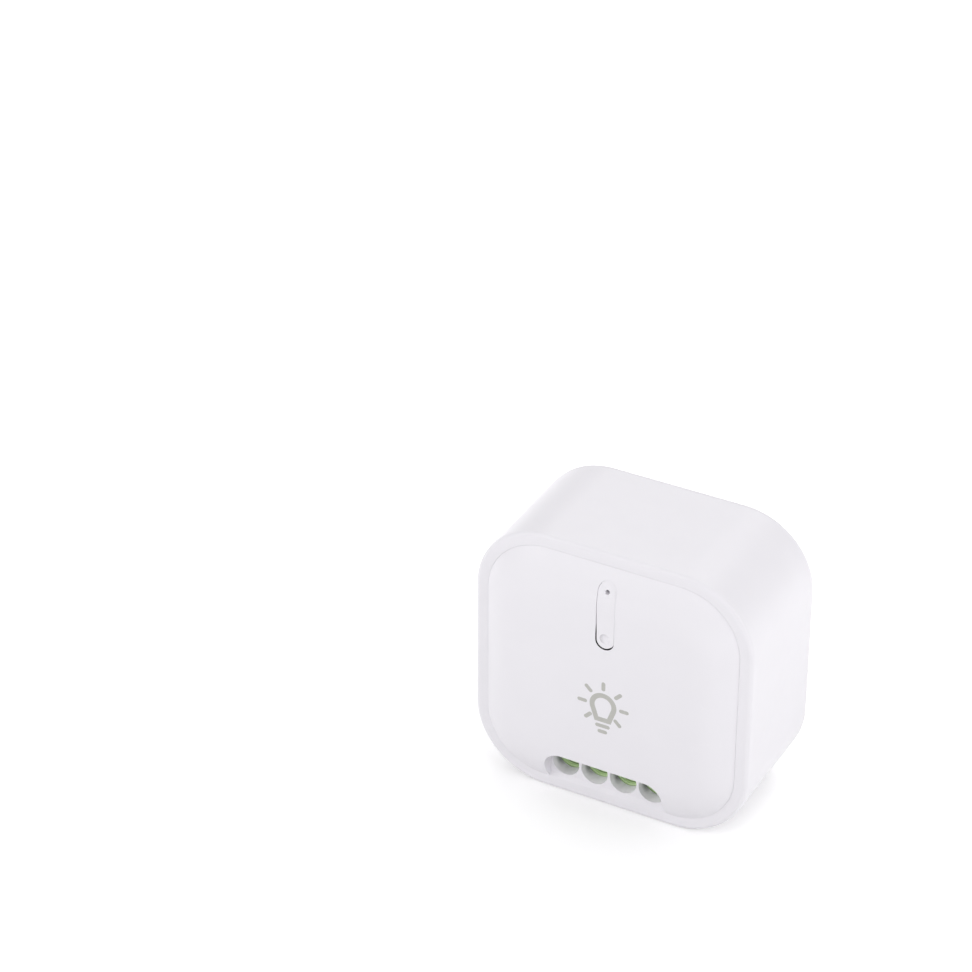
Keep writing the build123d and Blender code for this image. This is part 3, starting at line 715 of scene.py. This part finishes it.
class NodeTree:
    """Geometry nodes tree under construction, with named inputs and one mesh as its result."""

    def __init__(self, name, numbers, vectors):
        self.tree = bpy.data.node_groups.new(name, "GeometryNodeTree")
        self.sockets = {}
        for kind, names in (("NodeSocketFloat", numbers), ("NodeSocketVector", vectors)):
            for key in names:
                made = self.tree.interface.new_socket(key, in_out="INPUT", socket_type=kind)
                self.sockets[key] = made.identifier
        self.tree.interface.new_socket("Geometry", in_out="OUTPUT", socket_type="NodeSocketGeometry")
        self.given = self.tree.nodes.new("NodeGroupInput").outputs

    def node(self, kind, inputs=(), **values):
        """New node; each input gets an output or a plain value. Returns its first output."""
        made = self.tree.nodes.new(kind)
        for key, value in values.items():
            setattr(made, key, value)
        for target, value in inputs:
            if isinstance(value, bpy.types.NodeSocket):
                self.tree.links.new(value, made.inputs[target])
            else:
                made.inputs[target].default_value = value
        return made.outputs[0]

    def maths(self, operation, first, second=0.0):
        """Result of an operation on two outputs or numbers."""
        return self.node("ShaderNodeMath", ((0, first), (1, second)), operation=operation)

    def merged(self, *meshes):
        """Meshes joined, with doubled points merged."""
        joined = self.tree.nodes.new("GeometryNodeJoinGeometry")
        for mesh in meshes:
            self.tree.links.new(mesh, joined.inputs[0])
        return self.node(
            "GeometryNodeMergeByDistance",
            (("Geometry", joined.outputs[0]), ("Distance", MERGE_DISTANCE / 2)),
        )

    def finish(self, geometry, material):
        """Mesh with the material on, as the tree's result."""
        dressed = self.node("GeometryNodeSetMaterial", (("Geometry", geometry), ("Material", material)))
        self.tree.links.new(dressed, self.tree.nodes.new("NodeGroupOutput").inputs[0])

    def piece(self, name, **values):
        """Object made by the tree with the given inputs, as a plain mesh."""
        made = link(bpy.data.objects.new(name, bpy.data.meshes.new(name)))
        modifier = made.modifiers.new("Nodes", "NODES")
        modifier.node_group = self.tree
        for key, value in values.items():
            modifier[self.sockets[key]] = value
        return baked(made)


def ray_tree(material):
    """One round-ended ray, repeated around the middle of the bulb."""
    numbers = ("count", "first", "step", "start", "length", "width", "thickness")
    tree = NodeTree("Sign rays", numbers, ("middle",))
    given = tree.given
    outline = tree.node(
        "GeometryNodeCurvePrimitiveQuadrilateral", (("Width", given["length"]), ("Height", given["width"]))
    )
    corner = tree.maths("MULTIPLY", given["width"], RAY_CORNER)
    rounded = tree.node(
        "GeometryNodeFilletCurve",
        (("Curve", outline), ("Radius", corner), ("Count", RAY_STEPS)),
        mode="POLY",
    )
    face = tree.node("GeometryNodeFillCurve", (("Curve", rounded),), mode="NGONS")
    raised = tree.node(
        "GeometryNodeExtrudeMesh",
        (("Mesh", face), ("Offset Scale", given["thickness"]), ("Individual", False)),
    )
    closed = tree.merged(raised, tree.node("GeometryNodeFlipFaces", (("Mesh", face),)))
    out = tree.maths("ADD", given["start"], tree.maths("MULTIPLY", given["length"], 0.5))
    shift = tree.node("ShaderNodeCombineXYZ", (("X", out),))
    ray = tree.node("GeometryNodeTransform", (("Geometry", closed), ("Translation", shift)))
    turned = tree.maths("MULTIPLY", tree.node("GeometryNodeInputIndex"), given["step"])
    spin = tree.node("ShaderNodeCombineXYZ", (("Z", tree.maths("ADD", turned, given["first"])),))
    points = tree.node("GeometryNodePoints", (("Count", given["count"]),))
    rays = tree.node(
        "GeometryNodeInstanceOnPoints", (("Points", points), ("Instance", ray), ("Rotation", spin))
    )
    real = tree.node("GeometryNodeRealizeInstances", (("Geometry", rays),))
    upright = tree.node(
        "GeometryNodeTransform",
        (("Geometry", real), ("Translation", given["middle"]), ("Rotation", (pi / 2, 0, 0))),
    )
    tree.finish(upright, material)
    return tree


def screw_tree(material):
    """Headless screw about Z with a rolled thread and a slot in its lower end."""
    numbers = ("radius", "length", "pitch", "depth", "slot", "slot_depth")
    tree = NodeTree("Terminal screw", numbers, ("middle",))
    given = tree.given
    bar = tree.node(
        "GeometryNodeMeshCylinder",
        (("Vertices", 48), ("Side Segments", 72), ("Radius", given["radius"]), ("Depth", given["length"])),
    )
    place = tree.tree.nodes.new("ShaderNodeSeparateXYZ")
    tree.tree.links.new(tree.node("GeometryNodeInputPosition"), place.inputs[0])
    x, y, z = place.outputs
    turn = tree.maths("DIVIDE", tree.maths("ARCTAN2", y, x), 2 * pi)
    phase = tree.maths("SUBTRACT", tree.maths("DIVIDE", z, given["pitch"]), turn)
    groove = tree.maths("MULTIPLY", tree.maths("PINGPONG", phase, 0.5), 2.0)
    rim = tree.maths("SUBTRACT", tree.maths("MULTIPLY", given["length"], 0.5), tree.maths("ABSOLUTE", z))
    fade = tree.maths("MINIMUM", tree.maths("DIVIDE", rim, given["pitch"]), 1.0)
    cut = tree.maths("MULTIPLY", tree.maths("MULTIPLY", groove, fade), given["depth"])
    share = tree.maths("MULTIPLY", tree.maths("DIVIDE", cut, given["radius"]), -1.0)
    inward = tree.node(
        "ShaderNodeCombineXYZ",
        (("X", tree.maths("MULTIPLY", x, share)), ("Y", tree.maths("MULTIPLY", y, share))),
    )
    threaded = tree.node("GeometryNodeSetPosition", (("Geometry", bar), ("Offset", inward)))
    size = tree.node(
        "ShaderNodeCombineXYZ",
        (("X", tree.maths("MULTIPLY", given["radius"], 3.0)), ("Y", given["slot"]),
         ("Z", tree.maths("MULTIPLY", given["slot_depth"], 2.0))),
    )
    foot = tree.node("ShaderNodeCombineXYZ", (("Z", tree.maths("MULTIPLY", given["length"], -0.5)),))
    blade = tree.node(
        "GeometryNodeTransform",
        (("Geometry", tree.node("GeometryNodeMeshCube", (("Size", size),))), ("Translation", foot)),
    )
    slotted = tree.node(
        "GeometryNodeMeshBoolean", ((0, threaded), (1, blade)), operation="DIFFERENCE", solver="EXACT"
    )
    screw = tree.node(
        "GeometryNodeTransform", (("Geometry", slotted), ("Translation", given["middle"]))
    )
    tree.finish(screw, material)
    return tree


class SWITCHMODULE_OT_lamp_sign(bpy.types.Operator):
    """Print the lamp sign on the cover"""

    bl_idname = "switchmodule.lamp_sign"
    bl_label = "Lamp sign"

    def execute(self, context):
        own = settings().sign
        ink = sign_ink()
        rays = ray_tree(ink).piece(
            "sign_rays", count=float(own.rays), first=pi / 2 - own.ray_step * (own.rays - 1) / 2,
            step=own.ray_step, start=own.ray_start, length=own.ray_length, width=own.ray_width,
            thickness=own.thickness, middle=(0, cover_front, own.height),
        )
        shape = bmesh.new()
        depths = (cover_front, cover_front - own.thickness)
        outer, inner = bulb_outline(own, 0), bulb_outline(own, own.stroke)
        loops = [
            [shape.verts.new((x, y, own.height + z)) for x, z in outline]
            for outline in (outer, inner) for y in depths
        ]
        count = len(outer)
        for i in range(count):
            j = (i + 1) % count
            for a, b in ((0, 1), (1, 3), (3, 2), (2, 0)):
                shape.faces.new((loops[a][i], loops[a][j], loops[b][j], loops[b][i]))
        for width, drop in ((own.upper_bar, own.bar_drop), (own.lower_bar, own.bar_drop + own.bar_step)):
            slab(shape, round_bar(width, own.bar, own.height - drop), *depths)
        bmesh.ops.recalc_face_normals(shape, faces=shape.faces)
        shape.from_mesh(rays.data)
        bpy.data.objects.remove(rays)
        piece = mesh_piece("lamp_sign", shape)
        dress(piece, ink)
        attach(piece, "module")
        return {"FINISHED"}


class SWITCHMODULE_OT_terminals(bpy.types.Operator):
    """Finish the terminal block and its clamps"""

    bl_idname = "switchmodule.terminals"
    bl_label = "Terminals"

    def execute(self, context):
        own = settings().terminals
        piece = fine_copy("terminal_block", "terminal_moulding", own.edge)
        dress(piece, terminal_plastic(own))
        stand_for(piece, "terminal_block", "module")
        nickel = worked_metal("nickel_plate", own.nickel, roughness=0.28, stretch=(1, 6, 1))
        dress_nodes(nickel, "clamp_cages")
        zinc = worked_metal("zinc_steel", own.zinc, roughness=0.32, stretch=(1, 1, 5))
        screws = screw_tree(zinc)
        for number in range(1, 5):
            dress_nodes(zinc, f"pressure_plate_{number}")
            low, high = (Vector(corner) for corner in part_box(f"terminal_screw_{number}"))
            screw = screws.piece(
                f"screw_{number}", radius=(high.x - low.x) / 2, length=high.z - low.z, pitch=own.pitch,
                depth=own.thread, slot=own.slot, slot_depth=own.slot_depth, middle=(low + high) / 2,
            )
            screw.data.set_sharp_from_angle(angle=SHARP_ANGLE)
            stand_for(screw, f"terminal_screw_{number}", f"screw_{number}")
        return {"FINISHED"}


# Parts on the board: material, colour, roughness, whether it has leads, and the nodes that it is on
BOARD_PARTS = (
    ("board_laminate", (0.035, 0.210, 0.080), 0.30, False, ("main_board", "radio_board")),
    ("chip_black", (0.030, 0.030, 0.034), 0.50, False, ("rectifier", "controller_chip", "radio_chip")),
    ("switch_black", (0.035, 0.035, 0.035), 0.42, False, ("switch_body",)),
    ("plunger_black", (0.045, 0.045, 0.045), 0.36, False, ("switch_plunger",)),
    ("relay_case", (0.030, 0.085, 0.330), 0.25, True, ("relay",)),
    ("film_case", (0.720, 0.520, 0.050), 0.28, True, ("film_capacitor",)),
    ("varistor_coat", (0.060, 0.170, 0.450), 0.30, True, ("varistor",)),
    ("fuse_coat", (0.260, 0.380, 0.280), 0.50, True, ("fuse_resistor",)),
    ("coil_tape", (0.720, 0.540, 0.060), 0.35, True, ("transformer_coil",)),
    ("can_sleeve", (0.025, 0.028, 0.045), 0.25, True, ("bulk_capacitor", "output_capacitor")),
    ("antenna_sleeve", (0.240, 0.240, 0.260), 0.50, False, ("antenna_wire",)),
    ("lamp_resin", (0.800, 0.720, 0.420), 0.20, False, ("status_led",)),
)


class SWITCHMODULE_OT_electronics(bpy.types.Operator):
    """Finish the parts on the board"""

    bl_idname = "switchmodule.electronics"
    bl_label = "Electronics"

    def execute(self, context):
        for name, colour, roughness, leads, nodes in BOARD_PARTS:
            dress_nodes(coloured_moulding(name, colour, roughness, leads=leads), *nodes)
        ferrite = coloured_moulding("ferrite", FERRITE, roughness=0.6, grain=FERRITE_GRAIN)
        dress_nodes(ferrite, "transformer_core", "choke")
        dress_nodes(worked_metal("crystal_can", CRYSTAL_CAN, roughness=0.25), "crystal")
        clear = coloured_moulding("clear_plastic", CLEAR, roughness=0.08)
        clear.node_tree.nodes["Principled BSDF"].inputs["Transmission Weight"].default_value = 1.0
        dress_nodes(clear, "light_pipe")
        return {"FINISHED"}


def soft_light(name, aim, place, size, level_there):
    """Square soft light that faces a point and lights white paper there to the given level."""
    lamp = bpy.data.lights.new(name, "AREA")
    lamp.shape = "SQUARE"
    lamp.size = size
    light = link(bpy.data.objects.new(name, lamp))
    view = Vector(aim) - Vector(place)
    lamp.energy = level_there * pi * pi * view.length_squared
    light.matrix_world = Matrix.Translation(place) @ view.to_track_quat("-Z", "Y").to_matrix().to_4x4()


def seen_by_camera(tree):
    """1 for rays from the camera, mirrors and glass, else 0."""
    path = tree.nodes.new("ShaderNodeLightPath")
    total = path.outputs["Is Camera Ray"]
    for name in ("Is Glossy Ray", "Is Transmission Ray"):
        both = tree.nodes.new("ShaderNodeMath")
        both.operation = "MAXIMUM"
        tree.links.new(total, both.inputs[0])
        tree.links.new(path.outputs[name], both.inputs[1])
        total = both.outputs["Value"]
    return total


class SWITCHMODULE_OT_stage(bpy.types.Operator):
    """Set up the floor, the light and the camera"""

    bl_idname = "switchmodule.stage"
    bl_label = "Stage"

    def execute(self, context):
        own = settings().stage
        scene = context.scene
        scene.view_settings.view_transform = "Standard"
        self.make_world(scene, own)
        self.make_floor(own)
        middle = (0, 0, 25 * MM)
        soft_light("front_light", middle, place=(0.08, -0.94, 0.74), size=0.6, level_there=own.front)
        soft_light("left_light", middle, place=(-0.75, -0.75, 0.55), size=0.6, level_there=own.left)
        soft_light("right_light", middle, place=(1.1, -0.15, 0.4), size=0.7, level_there=own.right)
        soft_light("top_light", middle, place=(-0.15, 0.7, 0.95), size=0.9, level_there=own.top)
        self.make_camera(scene, own)
        return {"FINISHED"}

    def make_world(self, scene, own):
        """Even white light, plain white for the camera."""
        world = bpy.data.worlds.new("studio")
        world.use_nodes = True
        scene.world = world
        tree = world.node_tree
        light = tree.nodes["Background"]
        light.inputs["Strength"].default_value = own.dome
        light.inputs["Color"].default_value = WHITE
        white = tree.nodes.new("ShaderNodeBackground")
        white.inputs["Color"].default_value = WHITE
        mix = tree.nodes.new("ShaderNodeMixShader")
        tree.links.new(seen_by_camera(tree), mix.inputs["Fac"])
        tree.links.new(light.outputs[0], mix.inputs[1])
        tree.links.new(white.outputs[0], mix.inputs[2])
        tree.links.new(mix.outputs[0], tree.nodes["World Output"].inputs["Surface"])

    def make_floor(self, own):
        """Pale floor that keeps the module's shadow and glows to white for the camera."""
        shape = bmesh.new()
        below = Matrix.Translation((0, 0, -0.02 * MM))
        bmesh.ops.create_grid(shape, x_segments=1, y_segments=1, size=3.0, matrix=below)
        floor = mesh_piece("floor", shape)
        shader = Shader("floor", 0.9)
        shader.surface.inputs["Base Color"].default_value = (*own.floor, 1)
        shader.surface.inputs["Specular IOR Level"].default_value = 0.0
        x, y = shader.along("X"), shader.along("Y")
        fade = shader.spread(shader.reach(x, y), own.floor_near, own.floor_far, own.floor_glow, 1)
        side = shader.spread(x, own.side_near, own.side_far, 0, own.side_glow)
        strength = shader.product(shader.maths("ADD", fade, side), seen_by_camera(shader.tree))
        glow = shader.node("ShaderNodeEmission")
        glow.inputs["Color"].default_value = WHITE
        shader.join(strength, glow.inputs["Strength"])
        both = shader.node("ShaderNodeAddShader")
        shader.join(shader.surface.outputs[0], both.inputs[0])
        shader.join(glow.outputs[0], both.inputs[1])
        shader.join(both.outputs[0], shader.tree.nodes["Material Output"].inputs["Surface"])
        dress(floor, shader.material)

    def make_camera(self, scene, own):
        """Camera at the photograph's place."""
        camera = link(bpy.data.objects.new("camera", bpy.data.cameras.new("camera")))
        camera.data.lens = own.lens
        camera.data.sensor_width = 36.0
        camera.data.clip_start = 0.01
        flat = cos(own.elevation)
        back = Vector((sin(own.azimuth) * flat, -cos(own.azimuth) * flat, sin(own.elevation)))
        turn = back.to_track_quat("Z", "Y").to_matrix().to_4x4() @ Matrix.Rotation(own.roll, 4, "Z")
        camera.matrix_world = Matrix.Translation(Vector(own.aim) + own.distance * back) @ turn
        scene.camera = camera


class SwitchModuleSettings(bpy.types.PropertyGroup):
    """All settings of the switch module."""

    moulding: PointerProperty(type=MouldingSettings)
    sign: PointerProperty(type=SignSettings)
    terminals: PointerProperty(type=TerminalSettings)
    stage: PointerProperty(type=StageSettings)


STEPS = (
    SWITCHMODULE_OT_housing,
    SWITCHMODULE_OT_cover,
    SWITCHMODULE_OT_key,
    SWITCHMODULE_OT_lamp_sign,
    SWITCHMODULE_OT_terminals,
    SWITCHMODULE_OT_electronics,
    SWITCHMODULE_OT_stage,
)


class SWITCHMODULE_PT_panel(bpy.types.Panel):
    """Sidebar panel with the module's pieces and settings"""

    bl_label = "Switch module"
    bl_space_type = "VIEW_3D"
    bl_region_type = "UI"
    bl_category = "Switch module"

    def draw(self, context):
        for step in STEPS:
            self.layout.operator(step.bl_idname)
        own = context.scene.switch_module
        for group in (own.moulding, own.sign, own.terminals, own.stage):
            box = self.layout.box()
            for name in group.__annotations__:
                box.prop(group, name)


CLASSES = (
    MouldingSettings, SignSettings, TerminalSettings, StageSettings, SwitchModuleSettings, *STEPS,
    SWITCHMODULE_PT_panel,
)


def register():
    """Register the add-on's classes and settings."""
    for item in CLASSES:
        bpy.utils.register_class(item)
    bpy.types.Scene.switch_module = PointerProperty(type=SwitchModuleSettings)


def unregister():
    """Remove the add-on's classes and settings."""
    del bpy.types.Scene.switch_module
    for item in reversed(CLASSES):
        bpy.utils.unregister_class(item)


def main():
    """Build every piece in order."""
    register()
    bpy.ops.switchmodule.housing()
    bpy.ops.switchmodule.cover()
    bpy.ops.switchmodule.key()
    bpy.ops.switchmodule.lamp_sign()
    bpy.ops.switchmodule.terminals()
    bpy.ops.switchmodule.electronics()
    bpy.ops.switchmodule.stage()


if __name__ == "__main__":
    main()
